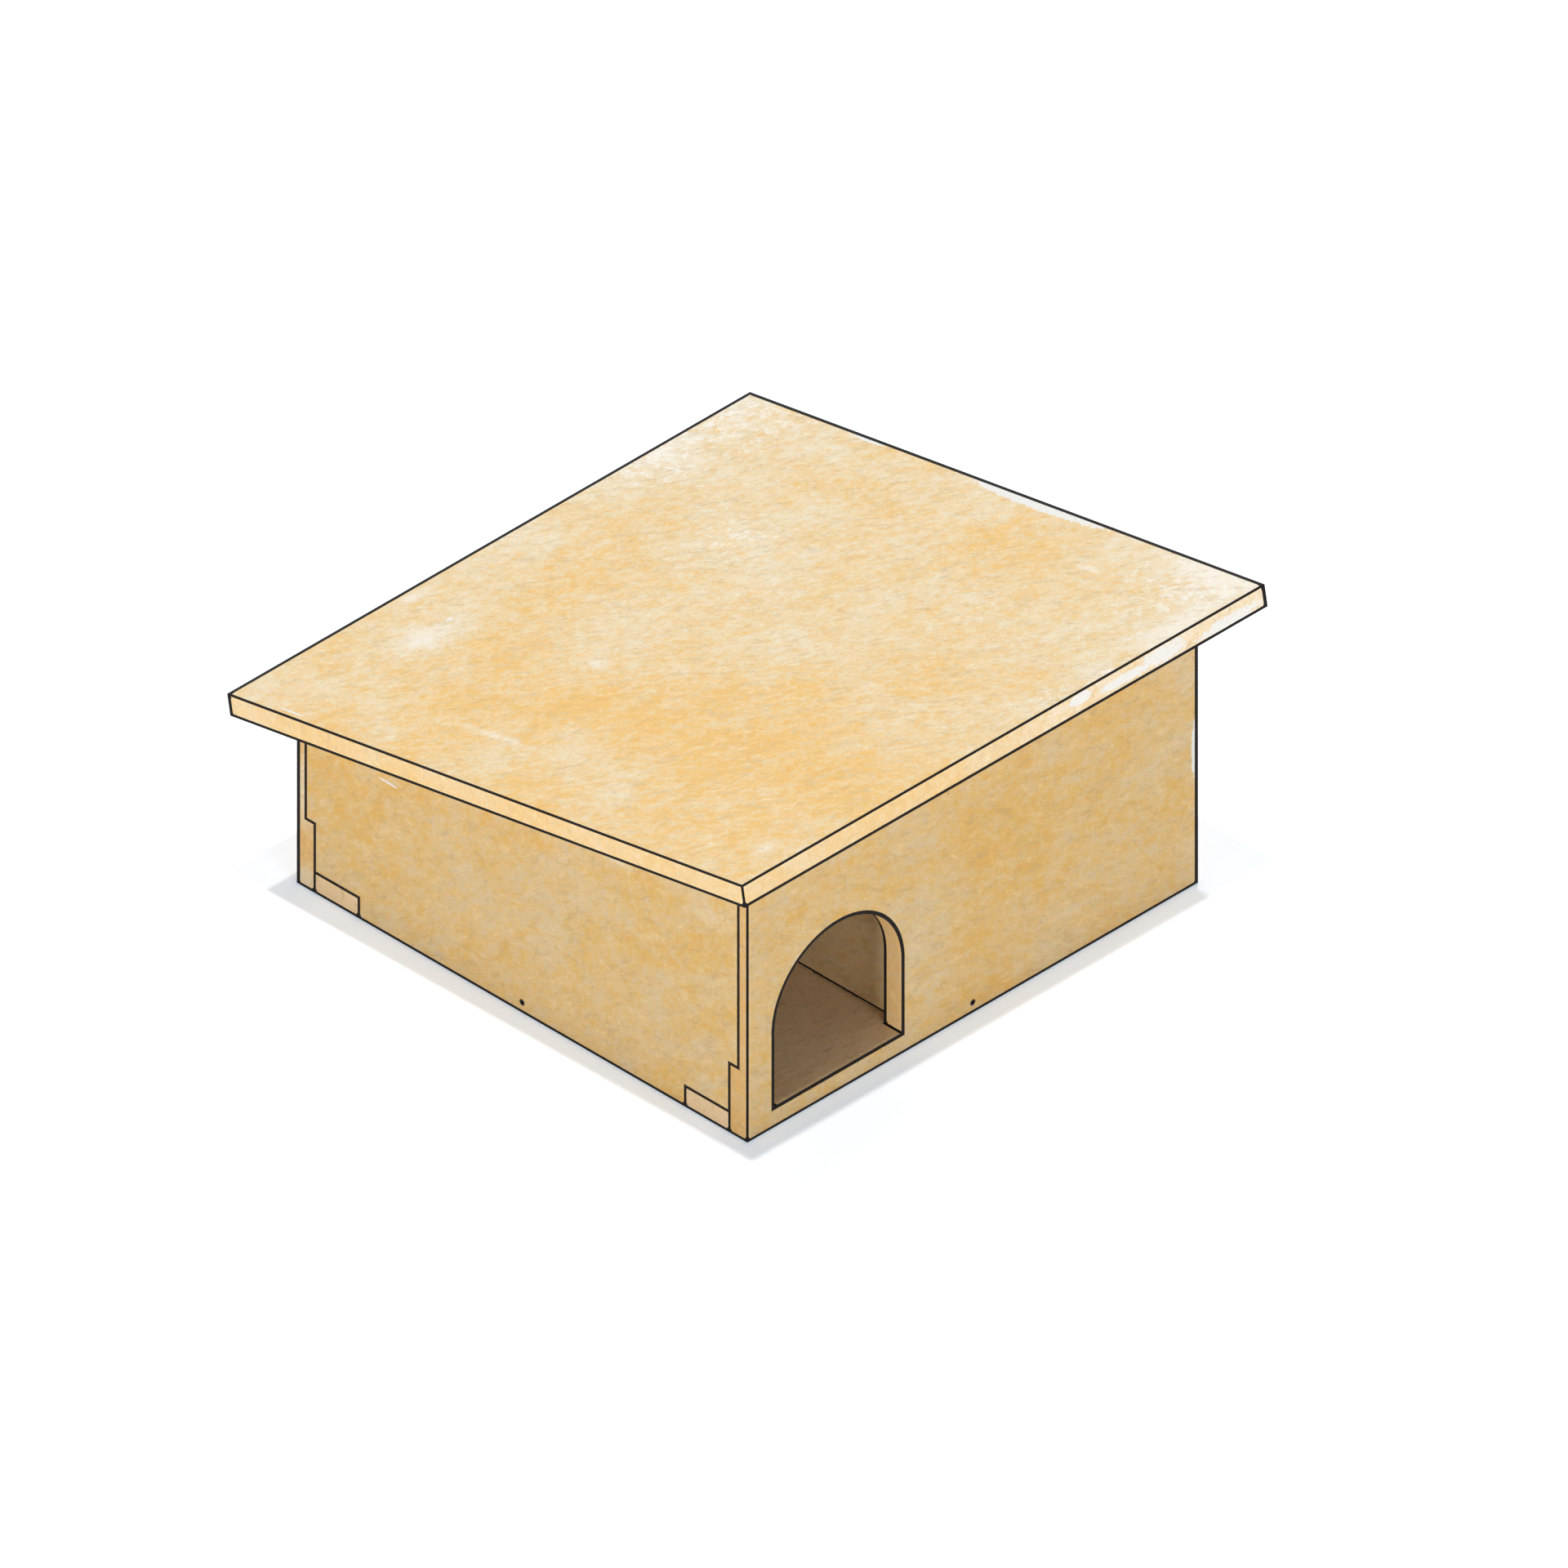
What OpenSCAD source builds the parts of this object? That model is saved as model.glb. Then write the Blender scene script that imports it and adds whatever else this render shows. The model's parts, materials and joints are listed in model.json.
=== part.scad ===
// Hedgehog house of slotted plywood boards: a floor, four walls, an inside wall and a lift-off roof.
// X runs along the front wall, Y from the front wall to the back wall and Z up.
// The origin is on the ground, under the middle of the house.

/* [House] */
// Width of the house, over its side walls
house_w = 450; // [420:1:500]
// Depth of the house, over its front and back walls
house_d = 450; // [420:1:500]
// Height of the front wall at its outer face
front_h = 231.5; // [215:0.5:260]
// Pitch of the roof, which falls towards the back, in degrees
roof_pitch = 10; // [7:0.5:12]
// Thickness of the plywood sheet that every board is cut from
ply = 18; // [15:0.5:20]

/* [Board joints] */
// Depth of the housings that the end walls hold the upright boards in
housing_depth = 9; // [6:0.5:11]
// Height above the ground at which the housings stop
housing_stop = 60; // [45:1:75]
// Length of each tab that passes through a notch or a mortise
tab_l = 44; // [36:1:52]
// Gap left around a board or a tab that drops into its slot
fit_gap = 0.2; // [0.1:0.05:0.4]

/* [Doorway] */
// Width of the doorway, which is also the width of its round arch
door_w = 127; // [118:1:138]
// Height of the doorway above the floor, at the top of its arch
door_h = 127; // [110:1:145]

/* [Inside wall] */
// Clear width of the entrance passage, between the left wall and the inside wall
passage_w = 145; // [140:1:165]
// Clear way left between the inside wall and the back wall
way_round = 134; // [115:1:150]
// Distance from each end of the inside wall to its nearest tab
tab_inset = 36; // [20:1:45]

/* [Roof] */
// How far the roof reaches out past each side wall
side_overhang = 36; // [20:1:50]
// How far the roof reaches out past the front and back walls, measured level
end_overhang = 32; // [20:1:50]
// Gap between the roof and the walls that it rests on
seat_gap = 0.2; // [0.1:0.05:0.4]
// Width of the two battens that keep the roof in place
batten_w = 30; // [22:1:40]
// Thickness of the battens, square to the roof
batten_t = 18; // [15:0.5:24]
// Gap between the battens and the walls around them
batten_gap = 2; // [1:0.5:4]

/* [Screws] */
// Diameter of the screws' shank
screw_d = 3.2; // [2.8:0.1:3.6]
// Diameter of the screws' small head
screw_head_d = 5; // [4.4:0.1:6.5]
// Height of the head, with the cone under it
screw_head_h = 2.6; // [2:0.1:4]
// Width of the six-sided socket in the head, across its corners
socket_w = 2.8; // [2:0.1:3.2]
// Depth of the socket
socket_depth = 1.6; // [1:0.1:1.8]
// Length of the screws that fix the walls to the floor
wall_screw_l = 40; // [34:1:48]
// Length of the screws that fix the battens to the roof
batten_screw_l = 27; // [23:0.5:29]
// Number of screws in each batten
batten_screws_n = 3; // [2:1:4]
// Distance from each end of a batten to its nearest screw
batten_screw_inset = 35; // [20:1:60]
// Gap around a screw in its hole
screw_gap = 0.1; // [0.05:0.05:0.2]

/* [Hidden] */

// Space between the walls
in_w = house_w - 2 * ply;
in_d = house_d - 2 * ply;
// Left face and length of the inside wall
inside_x = -in_w / 2 + passage_w;
inside_l = in_d - way_round;
// Middle of the doorway, which is centred on the entrance passage
door_x = -in_w / 2 + passage_w / 2;
// Size of the roof board
roof_w = house_w + 2 * side_overhang;
roof_l = (house_d + 2 * end_overhang) / cos(roof_pitch);
// Reach of the battens in front of and behind the middle of the house
batten_reach = in_d / 2 - batten_gap;
// Straight rim of a screw's head, and the length and blunt end of its point
screw_rim_h = screw_head_h / 3;
screw_tip_l = 1.5 * screw_d;
screw_tip_r = screw_d / 8;
// How far a cut runs past the face that it opens, and the steps in a full circle
over = 1;
$fn = 96;

wall_colour = [0.85, 0.71, 0.50];
roof_colour = [0.94, 0.84, 0.66];
inside_colour = [0.76, 0.60, 0.42];
screw_colour = [0.12, 0.11, 0.11];

// Height of the plane that the tops of the walls lie in, at a distance y behind the middle
function roof_z(y) = front_h - (y + house_d / 2) * tan(roof_pitch);

// Extrudes an outline drawn in Y and Z along X, from x0
module along_x(x0, length)
    translate([x0, 0, 0]) rotate([90, 0, 90]) linear_extrude(length) children();

// Extrudes an outline drawn in X and Z along Y, from y0
module along_y(y0, length)
    translate([0, y0 + length, 0]) rotate([90, 0, 0]) linear_extrude(length) children();

// Puts its children in the roof's own frame: on its underside, with Z square to the roof
module on_roof()
    translate([0, 0, roof_z(0) + seat_gap]) rotate([-roof_pitch, 0, 0]) children();

// A screw along Z with its head at 0, or its hole when grow is more than 0
module screw_shape(length, grow = 0) {
    head_r = screw_head_d / 2 + grow;
    shank_r = screw_d / 2 + grow;
    rotate_extrude()
        polygon([[0, -grow], [head_r, -grow], [head_r, screw_rim_h], [shank_r, screw_head_h],
                 [shank_r, length - screw_tip_l], [screw_tip_r + grow, length + grow], [0, length + grow]]);
}

// A screw with a six-sided socket in its head
module screw(length)
    difference() {
        screw_shape(length);
        translate([0, 0, -over]) cylinder(d = socket_w, h = over + socket_depth, $fn = 6);
    }

// Repeats its children at the wall screws, with Z pointing into the house
module at_wall_screws()
    for (side = [0 : 3]) {
        reach = (side % 2 == 0 ? house_d : house_w) / 2;
        rotate(90 * side) translate([0, -reach, ply / 2]) rotate([-90, 0, 0]) children();
    }

// Repeats its children at the screws of one batten, in the roof's frame, with Z pointing up into the roof
module at_batten_screws(x0)
    on_roof() {
        first = -batten_reach + batten_screw_inset;
        pitch = -2 * first / (batten_screws_n - 1);
        for (i = [0 : batten_screws_n - 1])
            translate([x0 + batten_w / 2, first + i * pitch, -batten_t]) children();
    }

// Board across the house under the roof, from y0 to y0 + ply
module end_board(y0)
    along_x(-house_w / 2, house_w)
        polygon([[y0, 0], [y0 + ply, 0], [y0 + ply, roof_z(y0 + ply)], [y0, roof_z(y0)]]);

// Slot in the inner face of an end wall, open at the top; side is -1 at the front and 1 at the back
module housing(side, x0, width) {
    y0 = side < 0 ? -in_d / 2 - housing_depth : in_d / 2 - over;
    translate([x0, y0, housing_stop]) cube([width, housing_depth + over, front_h]);
}

// The two housings at the ends of an end wall, which take the side walls
module corner_housings(side)
    for (x0 = [-house_w / 2 - over, in_w / 2 - fit_gap])
        housing(side, x0, ply + fit_gap + over);

// Arched opening through the front wall, with its sill level with the floor
module doorway() {
    spring_z = door_h - door_w / 2;
    along_y(-house_d / 2 - over, ply + 2 * over)
        translate([door_x, ply]) {
            translate([-door_w / 2, 0]) square([door_w, spring_z]);
            translate([0, spring_z]) circle(d = door_w);
        }
}

module front_wall()
    color(wall_colour) difference() {
        end_board(-house_d / 2);
        corner_housings(-1);
        housing(-1, inside_x - fit_gap, ply + 2 * fit_gap);
        doorway();
        wall_screw_holes();
    }

module back_wall()
    color(wall_colour) difference() {
        end_board(in_d / 2);
        corner_housings(1);
        wall_screw_holes();
    }

module wall_screw_holes()
    at_wall_screws() screw_shape(wall_screw_l, screw_gap);

// Side wall from x0 to x0 + ply: its upper ends sit in the housings and its notches straddle the floor's tabs
module side_wall(x0) {
    low_end = in_d / 2 - fit_gap;
    high_end = in_d / 2 + housing_depth - fit_gap;
    notch_end = in_d / 2 - tab_l - fit_gap;
    notch_h = ply + fit_gap;
    step_z = housing_stop + fit_gap;
    color(wall_colour) difference() {
        along_x(x0, ply)
            polygon([[-notch_end, 0], [notch_end, 0], [notch_end, notch_h], [low_end, notch_h],
                     [low_end, step_z], [high_end, step_z], [high_end, roof_z(high_end)],
                     [-high_end, roof_z(-high_end)], [-high_end, step_z], [-low_end, step_z],
                     [-low_end, notch_h], [-notch_end, notch_h]]);
        wall_screw_holes();
    }
}

module left_wall()
    side_wall(-house_w / 2);

module right_wall()
    side_wall(in_w / 2);

// Near ends of the inside wall's two tabs
function inside_tabs() = [-in_d / 2 + tab_inset, -in_d / 2 + inside_l - tab_inset - tab_l];

module inside_wall() {
    front = -in_d / 2 + fit_gap;
    back = -in_d / 2 + inside_l;
    step_z = housing_stop + fit_gap;
    color(inside_colour) along_x(inside_x, ply) {
        polygon([[front, ply], [back, ply], [back, roof_z(back)],
                 [front - housing_depth, roof_z(front - housing_depth)],
                 [front - housing_depth, step_z], [front, step_z]]);
        for (y0 = inside_tabs())
            translate([y0, 0]) square([tab_l, ply + over]);
    }
}

// Floor between the walls, with a tab at each corner that shows in the side walls
module floor_board()
    color(wall_colour) difference() {
        linear_extrude(ply) difference() {
            square([house_w, in_d], center = true);
            for (side = [-1, 1])
                translate([side * (in_w + house_w) / 4, 0])
                    square([ply, in_d - 2 * tab_l], center = true);
            for (y0 = inside_tabs())
                translate([inside_x - fit_gap, y0 - fit_gap])
                    square([ply + 2 * fit_gap, tab_l + 2 * fit_gap]);
        }
        wall_screw_holes();
    }

module wall_screws()
    color(screw_colour) at_wall_screws() screw(wall_screw_l);

module roof_board()
    color(roof_colour) difference() {
        on_roof() translate([-roof_w / 2, -roof_l / 2 - ply / 2 * tan(roof_pitch), 0])
            cube([roof_w, roof_l, ply]);
        batten_screw_holes();
    }

// Left edges of the two battens
function batten_edges() = [-in_w / 2 + batten_gap, in_w / 2 - batten_gap - batten_w];

module batten_screw_holes()
    for (x0 = batten_edges())
        at_batten_screws(x0) screw_shape(batten_screw_l, screw_gap);

// Strip under the roof, just inside a side wall, with its ends cut plumb
module batten(x0) {
    drop = batten_t / cos(roof_pitch);
    top_z = [roof_z(-batten_reach) + seat_gap, roof_z(batten_reach) + seat_gap];
    color(inside_colour) difference() {
        along_x(x0, batten_w)
            polygon([[-batten_reach, top_z[0]], [batten_reach, top_z[1]],
                     [batten_reach, top_z[1] - drop], [-batten_reach, top_z[0] - drop]]);
        batten_screw_holes();
    }
}

module left_batten()
    batten(batten_edges()[0]);

module right_batten()
    batten(batten_edges()[1]);

module batten_screws()
    color(screw_colour) for (x0 = batten_edges())
        at_batten_screws(x0) screw(batten_screw_l);

floor_board();
front_wall();
back_wall();
left_wall();
right_wall();
inside_wall();
wall_screws();
roof_board();
left_batten();
right_batten();
batten_screws();
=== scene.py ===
# %% [markdown]
# # Dressing a hedgehog house of slotted plywood
# The real house is nine boards cut from 18 mm plywood, brushed with a thin honey-coloured wash. The
# boards slot into each other, ten small dark screws hold them, and the roof lifts off. A CAD model
# already has every board at its real size and place. This lesson gives those boards eased edges, wood,
# wash and screws. All lengths are in metres, and MM turns a number of millimetres into metres.

# %% Load the fixed frame
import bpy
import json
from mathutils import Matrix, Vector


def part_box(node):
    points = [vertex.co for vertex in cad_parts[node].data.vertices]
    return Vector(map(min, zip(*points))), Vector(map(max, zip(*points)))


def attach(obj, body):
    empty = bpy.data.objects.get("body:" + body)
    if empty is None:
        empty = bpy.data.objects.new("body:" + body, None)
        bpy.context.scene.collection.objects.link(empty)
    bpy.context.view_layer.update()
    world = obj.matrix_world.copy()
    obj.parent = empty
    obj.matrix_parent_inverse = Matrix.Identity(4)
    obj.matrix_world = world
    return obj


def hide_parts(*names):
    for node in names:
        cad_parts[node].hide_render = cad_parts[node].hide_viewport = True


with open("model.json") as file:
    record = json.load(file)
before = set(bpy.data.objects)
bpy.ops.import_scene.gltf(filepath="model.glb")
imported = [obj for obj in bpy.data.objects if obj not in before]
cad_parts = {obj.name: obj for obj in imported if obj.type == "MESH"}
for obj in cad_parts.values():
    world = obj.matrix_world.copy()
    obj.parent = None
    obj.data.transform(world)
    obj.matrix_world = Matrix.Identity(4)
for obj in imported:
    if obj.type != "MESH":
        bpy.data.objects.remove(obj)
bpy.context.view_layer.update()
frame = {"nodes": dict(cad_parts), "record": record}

# %% Tools and units
import json
import math
from collections import namedtuple

import bmesh
import bpy
from mathutils import Vector
from mathutils.bvhtree import BVHTree
from mathutils.geometry import intersect_point_line

MM = 0.001
X_AXIS = Vector((1, 0, 0))
Y_AXIS = Vector((0, 1, 0))
Z_AXIS = Vector((0, 0, 1))


def add_object(name, data):
    """A new object with this data, in the scene."""
    made = bpy.data.objects.new(name, data)
    bpy.context.scene.collection.objects.link(made)
    return made


print("The CAD model has", len(frame["nodes"]), "nodes")

# %% [markdown]
# ## The camera
# The picture of the house is an isometric drawing: all three axes are shortened alike and nothing gets
# smaller with distance. An orthographic camera that looks down one diagonal of a cube gives just that.
# Its scale and its aim come from two things in the picture: how long the 450 mm bottom edge is, and where
# the near corner stands.

# %% Set up the isometric camera
PICTURE_PX = 1920
WALL_EDGE_PX = 637.4
NEAR_CORNER_PX = Vector((915.2, 1399.5))
ISOMETRIC_SHORTENING = math.sqrt(2 / 3)
CAMERA_DISTANCE = 4

walls_low, walls_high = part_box("front_wall")
wall_edge = walls_high.x - walls_low.x
metres_per_px = wall_edge * ISOMETRIC_SHORTENING / WALL_EDGE_PX
towards_camera = Vector((-1, -1, 1)).normalized()
camera_turn = towards_camera.to_track_quat("Z", "Y")
camera_right = camera_turn @ X_AXIS
camera_up = camera_turn @ Y_AXIS

from_centre = (NEAR_CORNER_PX - Vector((PICTURE_PX / 2, PICTURE_PX / 2))) * metres_per_px
near_corner = Vector((walls_low.x, walls_low.y, 0))
aim = near_corner - camera_right * from_centre.x + camera_up * from_centre.y

camera = add_object("camera", bpy.data.cameras.new("camera"))
camera.data.type = "ORTHO"
camera.data.ortho_scale = PICTURE_PX * metres_per_px
camera.location = aim + towards_camera * CAMERA_DISTANCE
camera.rotation_mode = "QUATERNION"
camera.rotation_quaternion = camera_turn
bpy.context.scene.camera = camera
print("The camera sees", round(camera.data.ortho_scale, 4), "m")

# %% [markdown]
# ## Sums on sockets
# A wash is made of many small sums: this noise times that mask, one less the other. Wiring a Math node by
# hand for each is slow to read, so a small class wraps a socket and lets Python's own signs add the
# nodes. One function adds every other kind of node. Both work in a material and in a Geometry Nodes tree.


# %% Wrap a socket
def fill(node, sockets):
    """Fills a node's sockets with numbers or with links."""
    for key, value in sockets.items():
        if isinstance(value, Wire):
            node.id_data.links.new(value.socket, node.inputs[key])
        else:
            node.inputs[key].default_value = value


def add_node(tree, kind, settings, sockets, output=0):
    """Adds a node, sets what it is, fills its sockets and gives one of its outputs as a Wire."""
    made = tree.nodes.new(kind)
    for name, value in settings.items():
        setattr(made, name, value)
    fill(made, sockets)
    return Wire(made.outputs[output])


class Wire:
    """An output socket that takes part in sums. Each sum adds a Math node to the socket's own tree."""

    def __init__(self, socket):
        self.socket = socket

    def maths(self, operation, *values):
        tree = self.socket.id_data
        return add_node(tree, "ShaderNodeMath", {"operation": operation}, dict(enumerate(values)))

    def __add__(self, other):
        return self.maths("ADD", self, other)

    def __radd__(self, other):
        return self.maths("ADD", other, self)

    def __sub__(self, other):
        return self.maths("SUBTRACT", self, other)

    def __rsub__(self, other):
        return self.maths("SUBTRACT", other, self)

    def __mul__(self, other):
        return self.maths("MULTIPLY", self, other)

    def __rmul__(self, other):
        return self.maths("MULTIPLY", other, self)

    def __truediv__(self, other):
        return self.maths("DIVIDE", self, other)

    def __rtruediv__(self, other):
        return self.maths("DIVIDE", other, self)

    def below(self, other):
        return self.maths("LESS_THAN", self, other)

    def at_least(self, other):
        return self.maths("MAXIMUM", self, other)

    def to_and_fro(self, top):
        """Up to the top, back to 0, and so on."""
        return self.maths("PINGPONG", self, top)

    def rise(self, start, full, most=1):
        """Nothing up to start, the most from full on, and a smooth slope between them."""
        sockets = {"Value": self, "From Min": start, "From Max": full, "To Max": most}
        settings = {"interpolation_type": "SMOOTHSTEP"}
        return add_node(self.socket.id_data, "ShaderNodeMapRange", settings, sockets)


print("A Wire has", len([name for name in vars(Wire) if name.startswith("__")]), "special methods")

# %% Name the nodes for places, colours and noise
COLOUR_A = 6
COLOUR_B = 7
COLOUR_RESULT = 2
NOISE_MIDDLE = 0.5


def vector_maths(operation, first, second=(0, 0, 0), output="Vector"):
    """A sum on places, which takes a Vector Math node. Its output called Value is a plain number."""
    settings = {"operation": operation}
    return add_node(first.socket.id_data, "ShaderNodeVectorMath", settings, {0: first, 1: second}, output)


def stretch(vector, x, y, z):
    """A pattern's place, scaled by a different number along each axis."""
    return vector_maths("MULTIPLY", vector, (x, y, z))


def mix_colours(factor, first, second):
    """Colours can't go through a Math node, so they are mixed by a Mix node."""
    sockets = {"Factor": factor, COLOUR_A: first, COLOUR_B: second}
    return add_node(factor.socket.id_data, "ShaderNodeMix", {"data_type": "RGBA"}, sockets, COLOUR_RESULT)


def noise(vector, per_metre, detail=2, roughness=0.5, distortion=0):
    """Cloudy noise, with so many clouds to the metre."""
    sockets = {"Vector": vector, "Scale": per_metre, "Detail": detail, "Roughness": roughness,
               "Distortion": distortion}
    return add_node(vector.socket.id_data, "ShaderNodeTexNoise", {}, sockets)


def swing(pattern, strength):
    """A noise, moved from around its middle to around 0 and given a strength."""
    return (pattern - NOISE_MIDDLE) * strength


print("Noise lies around", NOISE_MIDDLE, "before it swings around 0")

# %% [markdown]
# ## The boards
# A board is a flat slab with notches, so its CAD shape is already right. What the finished board also has
# is an eased edge, and a thin dark line of stain along it, which draws every edge and every joint of the
# house. What a line looks like depends on what touches the board there, so the boards are listed and
# searched first.

# %% List the boards
upward_faces = [face for face in frame["nodes"]["roof_board"].data.polygons if face.normal.z > 0]
roof_up = max(upward_faces, key=lambda face: face.area).normal.copy()
down_roof = roof_up.cross(X_AXIS)

# The direction of the outer veneer's grain, the outward direction, and the brush strokes' slant in degrees
BOARDS = {
    "floor_board": (X_AXIS, -Z_AXIS, 0),
    "front_wall": (X_AXIS, -Y_AXIS, -21),
    "back_wall": (X_AXIS, Y_AXIS, 21),
    "left_wall": (Y_AXIS, -X_AXIS, 32),
    "right_wall": (Y_AXIS, X_AXIS, -32),
    "inside_wall": (Y_AXIS, -X_AXIS, 32),
    "roof_board": (X_AXIS, roof_up, -41),
    "left_batten": (down_roof, roof_up, 0),
    "right_batten": (down_roof, roof_up, 0),
}
print("The roof falls", round(math.degrees(roof_up.angle(Z_AXIS)), 2), "degrees towards the back")

# %% Find what touches a board
WELD = 0.001 * MM
FLAT = math.radians(0.5)
TOUCHING = 0.3 * MM


def cad_copy(node):
    """A welded copy of a CAD mesh with its flat faces joined up. The CAD mesh itself is left alone."""
    copy = bmesh.new()
    copy.from_mesh(frame["nodes"][node].data)
    bmesh.ops.remove_doubles(copy, verts=copy.verts, dist=WELD)
    bmesh.ops.dissolve_limit(copy, angle_limit=FLAT, verts=copy.verts, edges=copy.edges)
    return copy


def cad_surface(node):
    """A search tree of a CAD node's surface, which answers how near a point is to it."""
    copy = cad_copy(node)
    surface = BVHTree.FromBMesh(copy)
    copy.free()
    return surface


def is_covered(node, point):
    """Whether another board touches this one at the point."""
    others = [surface for other, surface in surfaces.items() if other != node]
    return any(surface.find_nearest(point, TOUCHING)[0] for surface in others)


surfaces = {node: cad_surface(node) for node in BOARDS}
print("Other boards are looked for on", len(surfaces), "surfaces")

# %% Know the sill, the mortises and the doorway
BESIDE = 1.5 * MM
floor_low, floor_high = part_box("floor_board")
inside_low, inside_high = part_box("inside_wall")
ply = floor_high.z - floor_low.z


def middle_of_edge(edge):
    return (edge.verts[0].co + edge.verts[1].co) / 2


def at_sill(edge):
    """The floor meets the doorway's sill flush and they are sanded together, so no line shows there."""
    middle = middle_of_edge(edge)
    return abs(middle.y - floor_low.y) < BESIDE and abs(middle.z - floor_high.z) < BESIDE


def in_mortise(node, point):
    """Whether a point is at the top of a mortise in the floor, where the inside wall has its own line."""
    beside_wall = inside_low.x - TOUCHING < point.x < inside_high.x + TOUCHING
    return node == "floor_board" and beside_wall and point.y > inside_low.y + ply


def in_doorway(node, point):
    """Whether a point is on one of the doorway's edges."""
    between_sides = walls_low.x + ply < point.x < walls_high.x - ply
    return node == "front_wall" and between_sides and BESIDE < point.z < walls_high.z - ply


print("The plywood is", round(ply / MM, 2), "mm thick")

# %% [markdown]
# ## The lines
# The picture draws all its lines about equally wide. So a line has half its width on each of two faces
# that the picture shows, or of two boards that meet flush. It is widest on a face that the picture shows
# alone, narrower above a face that points down, where the shade below helps it, and lies round the
# doorway on the front alone.

# %% Find the edges that get a line
BORE_EDGE = 1 * MM
SHARP = math.radians(25)


def outline_edges(board):
    """The sharp edges of a board, without those of its small screw holes."""
    short = [edge for edge in board.edges if edge.calc_length() < BORE_EDGE]
    bore_points = {point for edge in short for point in edge.verts}
    sharp = [edge for edge in board.edges if edge.is_manifold and edge.calc_face_angle() > SHARP]
    return [edge for edge in sharp if not bore_points.issuperset(edge.verts)]


front = cad_copy("front_wall")
print("The front wall has", len(outline_edges(front)), "edges with a line")
front.free()

# %% Choose how wide each line is
OUTLINE = 3.5 * MM
DOORWAY_LINE = 3 * MM
LOWER_LINE = 2.5 * MM
FLOOR_LINE = 1.7 * MM
HALF_LINE = 1.35 * MM
FLUSH_LINE = 1.2 * MM
FACING = 0.5

Side = namedtuple("Side", ["start", "end", "normal", "width"])


def faces(normal, direction):
    """Whether a face looks mostly in a direction."""
    return normal.dot(direction) > FACING


def into_face(loop):
    """The direction from an edge into the face that one of its loops belongs to."""
    along = (loop.link_loop_next.vert.co - loop.vert.co).normalized()
    return loop.face.normal.cross(along)


def line_width(node, edge, loop, other_loop):
    """How wide an edge's line is on the face of the first of its two loops: nothing where another board
    hides it, a joint's share where one goes on past the edge, and otherwise by what the picture shows."""
    middle = middle_of_edge(edge)
    normal = loop.face.normal
    shown = normal.dot(towards_camera) > 0
    other_shown = other_loop.face.normal.dot(towards_camera) > 0
    if is_covered(node, middle + into_face(loop) * BESIDE) or at_sill(edge) or in_mortise(node, middle):
        return 0
    if is_covered(node, middle - into_face(loop) * BESIDE):
        return FLUSH_LINE
    if in_doorway(node, middle) and middle.y < walls_low.y + BESIDE:
        return DOORWAY_LINE if faces(normal, -Y_AXIS) else 0
    if faces(other_loop.face.normal, -Z_AXIS):
        return FLOOR_LINE if node == "inside_wall" else LOWER_LINE
    if is_covered(node, middle + into_face(other_loop) * BESIDE) or shown and not other_shown:
        return DOORWAY_LINE if in_doorway(node, middle) else OUTLINE
    return HALF_LINE if shown == other_shown and not faces(normal, -Z_AXIS) else 0


def lined_sides(node, edges):
    """Both sides of each edge, with the width of the line on each."""
    sides = []
    for edge in edges:
        start, end = [point.co.copy() for point in edge.verts]
        loops = list(edge.link_loops)
        for loop, other_loop in (loops, loops[::-1]):
            width = line_width(node, edge, loop, other_loop)
            sides.append(Side(start, end, loop.face.normal.copy(), width))
    return sides


print("Lines are", round(FLUSH_LINE / MM, 2), "to", round(OUTLINE / MM, 2), "mm wide on one face")

# %% [markdown]
# ## The strips beside the edges
# A material can't tell where an edge is. So the mesh gets a narrow strip on both sides of each edge, made
# by a bevel with a square profile, which changes no shape. Each corner of those strips notes how far past
# the line it lies, and the material paints where that number is below zero. A second, tiny round bevel
# then eases the corners, as sandpaper does.

# %% Close the line round the inside wall's foot
STRIP = 4 * MM


def foot_lines(board):
    """The inside wall's tabs pass through the floor, so no edge marks the floor's level on them. This cuts
    their faces there and at the top of the strip, and gives the sides of the line that closes each gap."""
    for height in (floor_high.z, floor_high.z + STRIP):
        whole = board.verts[:] + board.edges[:] + board.faces[:]
        bmesh.ops.bisect_plane(board, geom=whole, dist=WELD, plane_co=Z_AXIS * height, plane_no=Z_AXIS)
    board.normal_update()
    sides = []
    for edge in board.edges:
        level = all(abs(point.co.z - floor_high.z) < WELD for point in edge.verts)
        if level and edge.calc_face_angle() < FLAT:
            start, end = [point.co.copy() for point in edge.verts]
            sides.append(Side(start, end, edge.link_faces[0].normal.copy(), FLOOR_LINE))
    return sides


print("The floor's top is", round(floor_high.z / MM, 2), "mm up")

# %% Measure how far past a line a corner lies
ALIGNED = 0.99
NO_LINE = 10 * MM


def distance_to(point, start, end):
    """How far a point is from an edge. The edge goes on for a strip at both ends, so that lines meet."""
    more = (end - start).normalized() * STRIP
    start = start - more
    end = end + more
    nearest, share = intersect_point_line(point, start, end)
    if share < 0:
        nearest = start
    elif share > 1:
        nearest = end
    return (point - nearest).length


def past_lines(face, sides):
    """For each corner of a face, how far it lies past the nearest line: below zero is under the line. An
    eased corner's face lies along none of the sides, so it takes the lines of all the sides beside it."""
    centre = face.calc_center_median()
    near = [side for side in sides if distance_to(centre, side.start, side.end) < STRIP]
    eased = not any(abs(side.normal.dot(face.normal)) > ALIGNED for side in near)
    own = [side for side in near if eased or side.normal.dot(face.normal) > ALIGNED]
    values = []
    for point in face.verts:
        past = [distance_to(point.co, side.start, side.end) - side.width for side in own if side.width > 0]
        values.append(min([*past, NO_LINE]))
    return values


print("A corner with no line near it counts as", round(NO_LINE / MM), "mm past one")

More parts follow.
